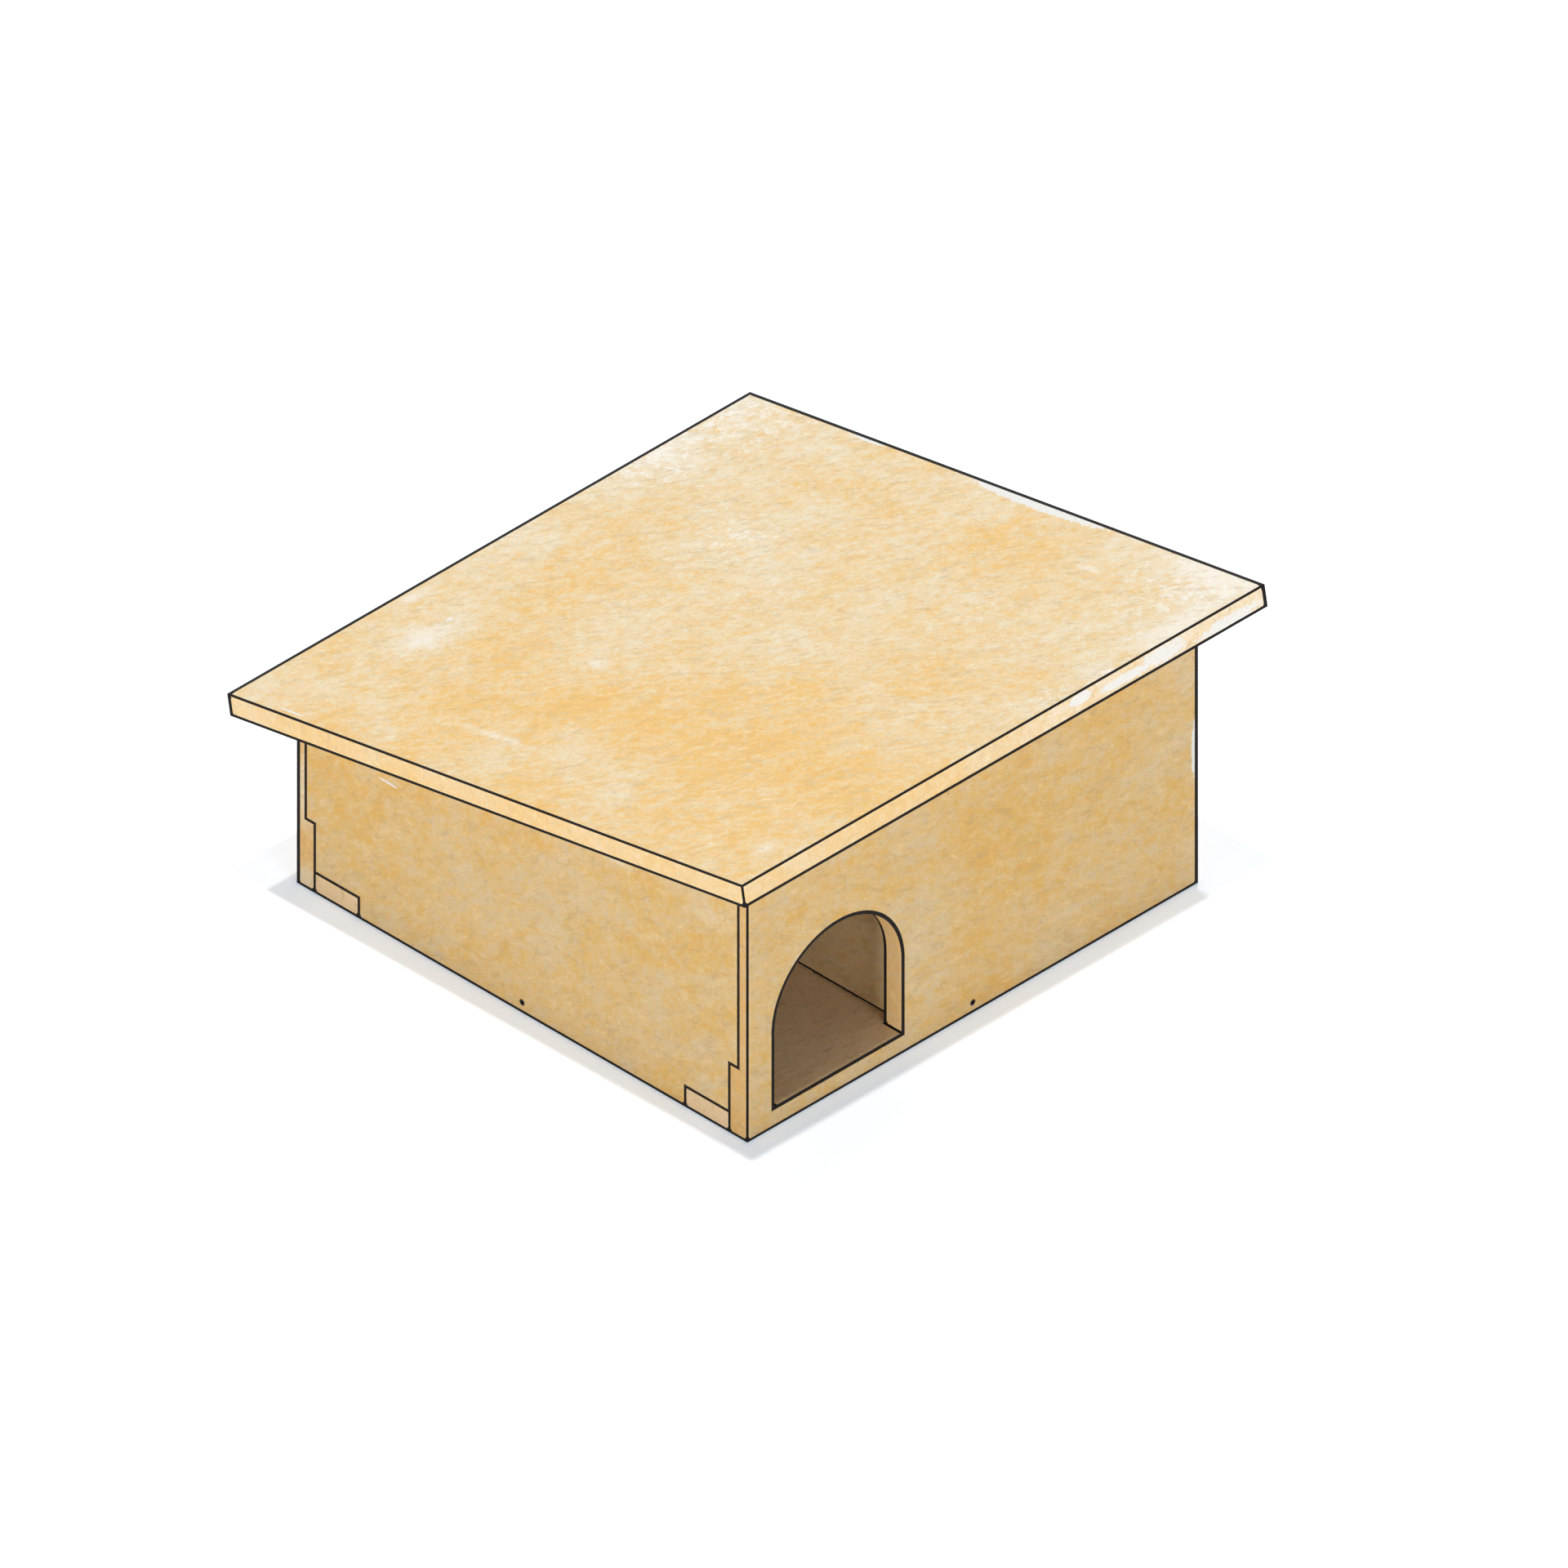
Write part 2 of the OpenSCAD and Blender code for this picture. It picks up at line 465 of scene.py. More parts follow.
# %% Cut the strips and ease the corners
SQUARE = 1
ROUND = 0.5
STRIP_STEPS = 2
EASING = 0.3 * MM
EASING_STEPS = 2


def bevel(board, edges, offset, steps, profile):
    """Cuts a strip of faces beside each edge. The profile is SQUARE or ROUND."""
    bmesh.ops.bevel(board, geom=edges, offset=offset, segments=steps, profile=profile, affect="EDGES")


def cut_and_ease(node):
    """A board with strips beside its edges and with eased corners, and the sides that its lines lie on."""
    board = cad_copy(node)
    edges = outline_edges(board)
    sides = lined_sides(node, edges)
    bevel(board, edges, STRIP, STRIP_STEPS, SQUARE)
    board.normal_update()
    if node == "inside_wall":
        sides += foot_lines(board)
    corners = [edge for edge in outline_edges(board) if edge.is_convex and not at_sill(edge)]
    bevel(board, corners, EASING, EASING_STEPS, ROUND)
    board.normal_update()
    return board, sides


print("Strips are", round(STRIP / MM, 1), "mm wide and corners are eased by", round(EASING / MM, 1), "mm")

# %% [markdown]
# ## What a board tells its finish
# Every board was sawn from one sheet of plywood. So each stores its place on that sheet, along the grain,
# and no two boards show the same figure. It also stores how the brush ran, where its cut edges are, and
# which of its faces were left bare.

# %% Store what the finish reads
# How bare the boards inside the house are: 1 is bare wood and 0 is a full wash
BARE_BOARDS = {"floor_board": 1, "inside_wall": 0.4, "left_batten": 1, "right_batten": 1}


def bareness(node, normal, outwards):
    """How bare a face is. The insides of the outer boards and their top ends have no wash."""
    inner = faces(normal, -outwards)
    top_end = faces(normal, Z_AXIS) and not faces(normal, outwards)
    return BARE_BOARDS.get(node, inner or top_end)


def places_along(mesh, centre, axes, shift):
    """Each point's place along three axes from the centre, moved by the shift, as one flat list."""
    offsets = [point.co - centre for point in mesh.vertices]
    return [offset.dot(axis) + more for offset in offsets for axis, more in zip(axes, shift)]


def add_values(mesh, name, kind, domain, values):
    """Stores one value for each point, face or face corner, for the material to read."""
    layer = mesh.attributes.new(name, kind, domain)
    layer.data.foreach_set("vector" if kind == "FLOAT_VECTOR" else "value", values)


print(len(BARE_BOARDS), "of the boards have little wash or none")

# %% Dress the boards
SHEET_STEP = 0.7
SHEET_COLUMNS = 3


def dress_board(node, grain, outwards, slant, sheet_place):
    """A copy of a CAD board with eased and lined edges, that knows its place on the plywood sheet."""
    board, sides = cut_and_ease(node)
    lines = [value for face in board.faces for value in past_lines(face, sides)]
    cut = [abs(face.normal.dot(outwards)) < FACING for face in board.faces]
    bare = [bareness(node, face.normal, outwards) for face in board.faces]
    name = node + "_dressed"
    mesh = bpy.data.meshes.new(name)
    board.to_mesh(mesh)
    board.free()

    low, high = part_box(node)
    centre = (low + high) / 2
    across = outwards.cross(grain)
    stroke = grain * math.cos(math.radians(slant)) + across * math.sin(math.radians(slant))
    x, y = sheet_place
    sheet = places_along(mesh, centre, (grain, across, outwards), (x, y, 0))
    strokes = places_along(mesh, centre, (stroke, outwards.cross(stroke), outwards), (0, y, 0))
    add_values(mesh, "sheet", "FLOAT_VECTOR", "POINT", sheet)
    add_values(mesh, "strokes", "FLOAT_VECTOR", "POINT", strokes)
    add_values(mesh, "past_line", "FLOAT", "CORNER", lines)
    add_values(mesh, "cut", "FLOAT", "FACE", cut)
    add_values(mesh, "bare", "FLOAT", "FACE", bare)
    mesh.shade_smooth()
    mesh.set_sharp_from_angle(angle=SHARP)
    return add_object(name, mesh)


sheet_places = {}
dressed = {}
for number, (node, (grain, outwards, slant)) in enumerate(BOARDS.items()):
    row, column = divmod(number, SHEET_COLUMNS)
    sheet_places[node] = (column * SHEET_STEP, row * SHEET_STEP)
    dressed[node] = dress_board(node, grain, outwards, slant, sheet_places[node])
    print(node, "has", len(dressed[node].data.polygons), "faces")

# %% [markdown]
# ## The wash
# The house is painted with a thin wash that dries unevenly: pale where it ran thin and amber where it
# pooled. All its colours lie on one line, from a thin wash to a thick one, so a single number, the
# thickness, chooses the colour. Clouds with as much strength at every size copy the way such paint
# granulates, and a few soft pools lean the thickness towards the palest and the darkest places that the
# house has.

# %% Make pools
NO_POOL = 0


def pools(sheet, spots):
    """How deep a place lies in the deepest of some pools, which slope from their middles to nothing."""
    flat = stretch(sheet, 1, 1, 0)
    deepest = NO_POOL
    for along, across, radius, depth in spots:
        away = vector_maths("DISTANCE", flat, (along, across, 0), "Value")
        deepest = (depth - away * (depth / radius)).at_least(deepest)
    return deepest


print("Outside every pool the depth is", NO_POOL)

# %% Wear places off
NO_WEAR = -1


def wear(sheet, places):
    """How worn a place is: 0 at the rim of an oval place, up to the oval's own number in its middle."""
    most = NO_WEAR
    for middle, reach, depth in places:
        offset = vector_maths("SUBTRACT", sheet, middle)
        offset = vector_maths("MULTIPLY", offset, [1 / size for size in reach])
        away = vector_maths("LENGTH", offset, output="Value")
        most = (depth - away * depth).at_least(most)
    return most


print("Far from every oval the wear is", NO_WEAR)

# %% Make the patterns of the wood and the brush
# How many there are to the metre, along the stroke, across it and into the board
STREAKS_PER_M = (32, 60, 60)
STROKES_PER_M = (75, 170, 170)


def wash_patterns(sheet, strokes):
    """The noises that the wash is made of. The flecks are mirrored through the board, which keeps them
    apart from the grain."""
    return {
        "clouds": noise(sheet, per_metre=12, detail=2, roughness=0.95),
        "grain": noise(sheet, per_metre=96, detail=3, roughness=1),
        "flecks": noise(stretch(sheet, 1, 1, -1), per_metre=130, detail=4, roughness=0.8),
        "streaks": noise(stretch(strokes, *STREAKS_PER_M), per_metre=1, detail=3, roughness=0.8),
        "brush": noise(stretch(strokes, *STROKES_PER_M), per_metre=1, detail=4, roughness=0.75,
                       distortion=0.7),
        "grit": noise(sheet, per_metre=520, detail=2, roughness=0.7),
    }


def stored(tree, name, output="Fac"):
    """A value that the mesh stores for the material to read."""
    return add_node(tree, "ShaderNodeAttribute", {"attribute_name": name}, {}, output)


print("Brush strokes are about", round(1000 / STROKES_PER_M[0]), "mm long and",
      round(1000 / STROKES_PER_M[1]), "mm wide")

# %% [markdown]
# ## The layers of the wash
# The finish is built as a painter would do it, from the bottom up: each layer has a colour and a number
# for how much it covers. First comes the wash by its thickness, with amber and pale flecks. Short
# slanting brush strokes raise the grain: they feed the bump, and the colour gets painted shade in their
# hollows and a painted highlight on their ridges, and a fine grit adds specks of painted shade. Cut
# edges take up more of the wash, so they are warmer, and show faint layers. In a few worn places, mostly
# along the roof's edges, the wash is gone down to the white primer, and in a few rubbed ones it is thin.
# Each is an oval whose rim a noise makes ragged.

# %% Lay the wash by its thickness
HALF_THICK = 0.5
PALE_PULL = 0.8
GRAIN_SWING = 2.2
FLECK_LEAN = 0.3
END_COVER = 0.4


def wash_thickness(patterns, leaning, cut, colours):
    """How thick the wash is: 0 is thin, 0.5 is honey and 1 is amber."""
    mottle = swing(patterns["clouds"], colours["clouds"]) + swing(patterns["streaks"], colours["streaks"])
    mottle = mottle + swing(patterns["grain"], GRAIN_SWING)
    return mottle + leaning + cut * colours["edge"] + HALF_THICK


def wash_layers(flecks, thickness, leaning, cut, colours):
    """The layers of the wash itself, from the bottom up. Each is a cover and a colour."""
    pale = 1 - (flecks + leaning).rise(start=0.08, full=0.3)
    return [
        (thickness / HALF_THICK, colours["honey"]),
        (thickness / HALF_THICK - 1, colours["amber"]),
        ((flecks + leaning * FLECK_LEAN).rise(start=0.64, full=0.8, most=0.6), colours["fleck"]),
        (pale, colours["pale"]),
        (cut * END_COVER, colours["end"]),
    ]


print("Honey lies at a thickness of", HALF_THICK)

# %% Lay the brush strokes, worn places and lines
VENEERS = 13
RAGGED = 1.2
LINE_RAGGED = 0.4 * MM


def surface_layers(tree, patterns, thickness, colours, marks):
    """The layers above the wash: rubbed and worn places, bare wood, painted shade and painted highlight of
    the brush strokes, painted shade of the grit, veneers and lines.
    """
    sheet = stored(tree, "sheet", "Vector")
    ragged = swing(patterns["flecks"], RAGGED)
    depth = add_node(tree, "ShaderNodeSeparateXYZ", {}, {0: sheet}, "Z")
    veneer = (depth / ply * VENEERS).to_and_fro(1).rise(start=0.3, full=0.7, most=0.15)
    line = (stored(tree, "past_line") + swing(patterns["grit"], LINE_RAGGED)).below(0)
    bare_wood = mix_colours(thickness, colours["bare"], colours["bare_shade"])
    return [
        ((wear(sheet, marks["rubbed"]) + ragged).rise(start=-0.1, full=0.7, most=0.7), colours["pale"]),
        (stored(tree, "bare"), bare_wood),
        # Painted shade in the brush strokes' hollows, then a painted highlight on their ridges
        (patterns["brush"].rise(start=0.5, full=0.7, most=0.6), colours["painted_shade_and_veneer"]),
        ((1 - patterns["brush"]).rise(start=0.52, full=0.72, most=0.45), colours["painted_highlight"]),
        ((wear(sheet, marks["worn"]) + ragged).rise(start=0, full=0.12), colours["primer"]),
        # Small specks of painted shade in the grit; the veneers below use the same colour as their own
        # dark layers
        (patterns["grit"].rise(start=0.5, full=0.7, most=0.2), colours["painted_shade_and_veneer"]),
        (veneer * stored(tree, "cut"), colours["painted_shade_and_veneer"]),
        (line, colours["line"]),
    ]


print("A board's cut edge shows", VENEERS, "veneers")

# %% Put the finish together
GLOSS = 0.15
SMOOTHEST = 0.7
ROUGHER = 0.25
STROKE_HEIGHT = 0.8
GRIT_HEIGHT = 0.2
BUMP_STRENGTH = 0.6
BUMP_DEPTH = 0.6 * MM


def wash_material(name, colours, marks):
    """Plywood under a thin uneven wash, with brush strokes in painted shade and painted highlight as well
    as bump, grit in painted shade, layered edges, worn places and dark lines.
    """
    material = bpy.data.materials.new(name)
    material.use_nodes = True
    tree = material.node_tree
    sheet = stored(tree, "sheet", "Vector")
    cut = stored(tree, "cut")
    patterns = wash_patterns(sheet, stored(tree, "strokes", "Vector"))
    leaning = (pools(sheet, marks["amber"]) - pools(sheet, marks["pale"]) * PALE_PULL) * colours["pooling"]
    thickness = wash_thickness(patterns, leaning, cut, colours)
    layers = wash_layers(patterns["flecks"], thickness, leaning, cut, colours)
    layers += surface_layers(tree, patterns, thickness, colours, marks)
    colour = colours["thin"]
    for cover, paint in layers:
        colour = mix_colours(cover, colour, paint)

    height = patterns["brush"] * STROKE_HEIGHT + patterns["grit"] * GRIT_HEIGHT
    sockets = {"Strength": BUMP_STRENGTH, "Distance": BUMP_DEPTH, "Height": height}
    bump = add_node(tree, "ShaderNodeBump", {}, sockets)
    roughness = SMOOTHEST + patterns["clouds"] * ROUGHER
    fill(tree.nodes["Principled BSDF"],
         {"Base Color": colour, "Roughness": roughness, "Normal": bump, "Specular IOR Level": GLOSS})
    return material


print("Brush strokes are up to", round(BUMP_DEPTH * BUMP_STRENGTH / MM, 2), "mm deep")

# %% Choose the colours
def linear(red, green, blue):
    """A screen colour of three numbers up to 255, as the linear light that Blender mixes. The numbers
    below are the curve that every standard screen has."""
    light = []
    for share in (red / 255, green / 255, blue / 255):
        light.append(share / 12.92 if share < 0.04 else ((share + 0.055) / 1.055) ** 2.4)
    return [*light, 1]


SHARED_COLOURS = {
    "bare": linear(232, 206, 170),
    "bare_shade": linear(226, 196, 155),
    "line": linear(24, 20, 17),
}
# The last four numbers are how much cut edges, clouds, streaks and pools change the wash's thickness
# The walls' colours are darker and more orange than the roof's
WALL_COLOURS = {
    **SHARED_COLOURS,
    "thin": linear(211, 189, 151),
    "honey": linear(215, 184, 130),
    "amber": linear(217, 174, 100),
    "fleck": linear(214, 158, 76),
    "pale": linear(224, 210, 182),
    # Painted shade for the brush strokes' hollows and the grit, which is also the veneers' colour, then a
    # painted highlight for the strokes' ridges
    "painted_shade_and_veneer": linear(190, 161, 116),
    "painted_highlight": linear(234, 208, 158),
    "end": linear(219, 171, 114),
    "primer": linear(226, 225, 221),
    "edge": 0.2,
    "clouds": 1.2,
    "streaks": 1.8,
    "pooling": 0.28,
}
ROOF_COLOURS = {
    **SHARED_COLOURS,
    "thin": linear(240, 228, 203),
    "honey": linear(239, 213, 167),
    "amber": linear(242, 198, 124),
    "fleck": linear(240, 178, 84),
    "pale": linear(249, 244, 233),
    # Painted shade for the brush strokes' hollows and the grit, which is also the veneers' colour, then a
    # painted highlight for the strokes' ridges
    "painted_shade_and_veneer": linear(214, 190, 149),
    "painted_highlight": linear(252, 235, 202),
    "end": linear(241, 206, 152),
    "primer": linear(240, 239, 235),
    "edge": 0,
    "clouds": 1.0,
    "streaks": 0.8,
    "pooling": 0.5,
}
print("The roof's honey in linear light:", [round(value, 3) for value in ROOF_COLOURS["honey"]])

# %% Place the pools
# Round pools: the place along the grain and across it from the board's middle and the radius, all in
# millimetres, and the depth
PALE_POOLS = {
    "roof_board": [(230, 262, 165, 0.85), (160, 262, 115, 1), (20, 275, 70, 0.8), (108, 115, 75, 0.7),
                   (55, 50, 60, 0.4), (265, -250, 180, 1), (170, -275, 80, 1), (105, -270, 45, 1),
                   (50, -265, 60, 0.8), (-130, 198, 60, 0.5), (-95, 76, 60, 0.5), (-194, -20, 40, 0.6),
                   (-194, -70, 40, 0.6), (30, -60, 110, 0.3), (250, 20, 60, 0.5)],
    "front_wall": [(-48, -10, 50, 1), (215, 60, 80, 1)],
    "left_wall": [(-190, -85, 60, 1), (185, -85, 60, 1), (-95, 75, 60, 0.6), (-7, 50, 60, 0.6),
                  (90, 35, 60, 0.6), (185, 75, 50, 0.6)],
}
AMBER_POOLS = {
    "roof_board": [(-160, 110, 100, 0.7), (-120, 40, 100, 0.9), (-118, -40, 110, 1), (-112, -120, 120, 1),
                   (-120, -200, 110, 1), (-210, -190, 110, 0.9), (-20, 170, 80, 0.4), (50, 175, 60, 0.4),
                   (22, -160, 60, 0.5), (200, -40, 50, 0.5), (200, -95, 50, 0.5), (-235, -30, 50, 0.5),
                   (-275, 80, 70, 1), (-275, 170, 60, 1), (-280, -60, 70, 1)],
    "front_wall": [(40, 38, 110, 1), (130, 30, 110, 1)],
    "left_wall": [(175, -10, 110, 1), (160, 30, 90, 0.8), (-185, -25, 80, 1)],
}
slot_of_node = {part["node"]: part["material_slot"] for part in frame["record"]["subparts"]}


def boards_with(slot, marks_on):
    """For each board with this finish: its place on the sheet and its marks."""
    return [(sheet_places[node], marks) for node, marks in marks_on.items() if slot_of_node[node] == slot]


def pools_of_slot(slot, pools_on):
    """The pools of every board with this finish, moved to the board's place on the sheet, in metres."""
    moved = []
    for (x, y), spots in boards_with(slot, pools_on):
        for along, across, radius, depth in spots:
            moved.append((along * MM + x, across * MM + y, radius * MM, depth))
    return moved


print("The roof has", len(PALE_POOLS["roof_board"]), "pale pools")

# %% Place the wear
# Oval places: along the grain, across it and outwards from the board's middle, how far each reaches in the
# same three directions, all in millimetres, and how worn the middle is
RUBBED_PLACES = {
    "roof_board": [((-127, 198, 9), (30, 20, 9), 0.7), ((-85, 68, 9), (12, 16, 9), 0.6),
                   ((-213, -234, 9), (16, 9, 9), 0.5), ((-200, 47, 9), (6, 40, 9), 0.5),
                   ((208, -137, 9), (4, 14, 9), 0.7), ((-88, 249, 9), (20, 9, 9), 0.6),
                   ((250, -210, 9), (18, 50, 9), 0.8), ((185, -250, 9), (50, 18, 9), 0.7)],
    "left_wall": [((-90, -64, 9), (26, 4, 3), 1), ((-190, -62, 9), (22, 12, 5), 0.4)],
    "back_wall": [((-225, -8, 0), (3, 40, 12), 1.2), ((-225, 70, 0), (3, 16, 12), 1.2)],
}
WORN_PLACES = {
    "roof_board": [((258, -36, 9), (9, 74, 12), 1), ((257, 135, 9), (3, 16, 12), 1),
                   ((76, -261, 3), (11, 3, 5), 1), ((120, -261, -1), (28, 3, 4), 0.8),
                   ((158, -261, 1), (24, 4, 7), 0.5), ((225, -261, -3), (34, 3, 5), 0.6),
                   ((-96, 203, 9), (4, 2, 3), 1), ((-255, 201, 9), (1, 12, 3), 1)],
    "front_wall": [((222, 2, 9), (4, 27, 6), 1)],
    "left_wall": [((134, -17, 9), (10, 1, 3), 0.8)],
}


def places_of_slot(slot, places_on):
    """The ovals of every board with this finish, moved to the board's place on the sheet, in metres."""
    moved = []
    for (x, y), places in boards_with(slot, places_on):
        for (along, across, outwards), reach, depth in places:
            middle = (along * MM + x, across * MM + y, outwards * MM)
            moved.append((middle, [size * MM for size in reach], depth))
    return moved


print("The roof is worn to the primer in", len(WORN_PLACES["roof_board"]), "places")

# %% Mix the two washes
washes = {}
for slot, colours in {"wall_plywood": WALL_COLOURS, "roof_plywood": ROOF_COLOURS}.items():
    marks = {
        "pale": pools_of_slot(slot, PALE_POOLS),
        "amber": pools_of_slot(slot, AMBER_POOLS),
        "rubbed": places_of_slot(slot, RUBBED_PLACES),
        "worn": places_of_slot(slot, WORN_PLACES),
    }
    washes[slot] = wash_material(slot + "_wash", colours, marks)
    print(slot, "has", len(washes[slot].node_tree.nodes), "nodes")

# %% [markdown]
# ## The boards on their bodies
# The roof lifts off the house, so a board has to know which of the two bodies it moves with. Each dressed
# board also says which CAD board it takes the place of and which finish it wears. The frame's record
# knows all this.

# %% Hang the boards
bodies = frame["record"]["behaviour"]["bodies"]
body_of_node = {node: body for body, nodes in bodies.items() for node in nodes}


def stand_in(piece, node):
    """Lets a finished piece ride on its body in place of a CAD node."""
    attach(piece, body_of_node[node])
    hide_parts(node)


for node, piece in dressed.items():
    piece.data.materials.append(washes[slot_of_node[node]])
    stand_in(piece, node)
print(len(dressed), "boards are in place")

# %% [markdown]
# ## The screws
# Small-headed black screws hold the walls to the floor and the battens to the roof. On the outside only
# their heads show. Each is a turned body with a six-sided socket and a thread, and all are alike, so one
# Geometry Nodes tree makes a screw from a few sizes and sets it on points. The points and the way each
# screw points are read from the CAD solids: the tip is the ring farthest from the middle, and the rim the
# ring farthest from it.

# %% Read the screws' places
SAME = 0.02 * MM


def middle_of(points):
    return sum(points, Vector()) / len(points)


def ring_farthest_from(origin, points):
    """The middle of the ring of points that lies farthest from the origin."""
    reach = max((point - origin).length for point in points)
    return middle_of([point for point in points if (point - origin).length > reach - SAME])


def separate_solids(node):
    """The points of each loose solid in a CAD node."""
    copy = cad_copy(node)
    left = set(copy.verts)
    solids = []
    while left:
        found = [left.pop()]
        for point in found:
            linked = {edge.other_vert(point) for edge in point.link_edges} & left
            left -= linked
            found += linked
        solids.append([point.co.copy() for point in found])
    copy.free()
    return solids


def screw_places(node):
    """The middle of each screw's head and the tip's end."""
    places = []
    for points in separate_solids(node):
        tip = ring_farthest_from(middle_of(points), points)
        places.append((ring_farthest_from(tip, points), tip))
    return sorted(places, key=lambda place: tuple(place[0]))


places_of_screws = {node: screw_places(node) for node in ("wall_screws", "batten_screws")}
for node, places in places_of_screws.items():
    head, tip = places[0]
    print(node, "has", len(places), "screws,", round((tip - head).length / MM, 1), "mm long")

# %% [markdown]
# ## The screw tree
# The tree lathes a screw from rings: each pair of rings is one open cone, and the cones are welded into a
# closed body. A six-sided hole is cut in the head, and a three-sided rib wound on a spiral makes the
# thread. The screw is then set on every point, turned to the point's own direction and spun by a random
# angle, because nobody drives two screws to the same stop.

# %% Turn the screw's body
SCREW_SIDES = 32
SOCKET_SIDES = 6


def at_height(tree, shape, height):
    place = add_node(tree, "ShaderNodeCombineXYZ", {}, {"Z": height})
    return add_node(tree, "GeometryNodeTransform", {}, {"Geometry": shape, "Translation": place})


def join(tree, parts):
    """Joins meshes into one, in their order. The node takes the link that was made last first."""
    joined = tree.nodes.new("GeometryNodeJoinGeometry")
    for part in reversed(parts):
        tree.links.new(part.socket, joined.inputs[0])
    return Wire(joined.outputs[0])


def turned_body(tree, given, shank_end):
    """A closed body turned from rings, each at a height with a radius, with the socket cut in its head."""
    rings = [
        (0, 0),
        (0, given["Head Radius"]),
        (given["Rim Height"], given["Head Radius"]),
        (given["Head Height"], given["Shank Radius"]),
        (shank_end, given["Shank Radius"]),
        (given["Length"], given["Point Radius"]),
        (given["Length"], 0),
    ]
    cones = []
    for (low, low_radius), (high, high_radius) in zip(rings, rings[1:]):
        sockets = {"Vertices": SCREW_SIDES, "Radius Bottom": low_radius, "Radius Top": high_radius,
                   "Depth": high - low}
        cone = add_node(tree, "GeometryNodeMeshCone", {"fill_type": "NONE"}, sockets)
        cones.append(at_height(tree, cone, low))
    body = add_node(tree, "GeometryNodeMergeByDistance", {}, {0: join(tree, cones), "Distance": WELD})

    # The cylinder's middle is at the head's top, so only half of its depth is in the head
    sockets = {"Vertices": SOCKET_SIDES, "Radius": given["Socket Width"] / 2,
               "Depth": given["Socket Depth"] * 2}
    hole = add_node(tree, "GeometryNodeMeshCylinder", {}, sockets)
    sockets = {"Mesh 1": body, "Mesh 2": hole}
    return add_node(tree, "GeometryNodeMeshBoolean", {"operation": "DIFFERENCE"}, sockets)


print("A screw has", SCREW_SIDES, "sides and its socket", SOCKET_SIDES)

# %% Wind the thread
THREAD_STEPS = 20
RIB_SIDES = 3
SMOOTH_NECK = 1.5


def wound_thread(tree, given, shank_end):
    """A three-sided rib on a spiral, from a little past the head to the end of the shank."""
    start = given["Head Height"] * SMOOTH_NECK
    rise = shank_end - start
    sockets = {"Resolution": THREAD_STEPS, "Rotations": rise / given["Thread Pitch"], "Height": rise,
               "Start Radius": given["Shank Radius"], "End Radius": given["Shank Radius"]}
    spiral = add_node(tree, "GeometryNodeCurveSpiral", {}, sockets)
    sockets = {"Resolution": RIB_SIDES, "Radius": given["Thread Height"]}
    rib = add_node(tree, "GeometryNodeCurvePrimitiveCircle", {}, sockets)
    sockets = {"Curve": spiral, "Profile Curve": rib, "Fill Caps": True}
    thread = add_node(tree, "GeometryNodeCurveToMesh", {}, sockets)
    return at_height(tree, thread, start)


print("The thread starts", SMOOTH_NECK, "head heights down")

# %% Set the screws on points
SPIN_SEED = 5


def set_on_points(tree, points, screw):
    """A copy of the screw on each point, turned to the point's angles and spun by a random angle."""
    angles = {"data_type": "FLOAT_VECTOR"}
    turn = add_node(tree, "GeometryNodeInputNamedAttribute", angles, {"Name": "turn"})
    turn = add_node(tree, "FunctionNodeEulerToRotation", {}, {0: turn})
    sockets = {"Max": (0, 0, math.tau), "Seed": SPIN_SEED}
    spin = add_node(tree, "FunctionNodeRandomValue", angles, sockets)
    spin = add_node(tree, "FunctionNodeEulerToRotation", {}, {0: spin})
    turn = add_node(tree, "FunctionNodeRotateRotation", {"rotation_space": "LOCAL"}, {0: turn, 1: spin})
    sockets = {"Points": points, "Instance": screw, "Rotation": turn}
    return add_node(tree, "GeometryNodeInstanceOnPoints", {}, sockets)


print("The screws are spun by the seed", SPIN_SEED)

# %% Build the screw tree
SCREW_SIZES = {
    "Head Radius": 2.5 * MM,
    "Rim Height": 0.8 * MM,
    "Head Height": 2.6 * MM,
    "Shank Radius": 1.15 * MM,
    "Thread Height": 0.4 * MM,
    "Thread Pitch": 1.6 * MM,
    "Point Length": 5 * MM,
    "Point Radius": 0.3 * MM,
    "Socket Width": 2.8 * MM,
    "Socket Depth": 1.6 * MM,
}


def screw_tree():
    """A Geometry Nodes tree with named sizes that sets a screw on each of its points."""
    tree = bpy.data.node_groups.new("screws_on_points", "GeometryNodeTree")
    tree.interface.new_socket("Points", in_out="INPUT", socket_type="NodeSocketGeometry")
    for size in ["Length", *SCREW_SIZES]:
        tree.interface.new_socket(size, in_out="INPUT", socket_type="NodeSocketFloat")
    tree.interface.new_socket("Finish", in_out="INPUT", socket_type="NodeSocketMaterial")
    tree.interface.new_socket("Screws", in_out="OUTPUT", socket_type="NodeSocketGeometry")
    inlet = tree.nodes.new("NodeGroupInput")
    given = {socket.name: Wire(socket) for socket in inlet.outputs if socket.name}

    shank_end = given["Length"] - given["Point Length"]
    screw = join(tree, [turned_body(tree, given, shank_end), wound_thread(tree, given, shank_end)])
    copies = set_on_points(tree, given["Points"], screw)
    solid = add_node(tree, "GeometryNodeRealizeInstances", {}, {0: copies})
    sockets = {"Geometry": solid, "Material": given["Finish"]}
    finished = add_node(tree, "GeometryNodeSetMaterial", {}, sockets)
    fill(tree.nodes.new("NodeGroupOutput"), {0: finished})
    return tree


screws_on_points = screw_tree()
print("The screw tree has", len(screws_on_points.nodes), "nodes")

# %% [markdown]
# ## Black steel
# The screws have a thin black coat with a satin sheen. A driver's bit and the wood rub it off in places,
# so a fine noise lets a little bare grey steel through and makes the surface rougher there.

# %% Build the screws' finish
METAL_SHARE = 0.6
SATIN = 0.42
RUBBED_ROUGHER = 0.25
PITTING_STRENGTH = 0.3
PITTING_DEPTH = 0.05 * MM


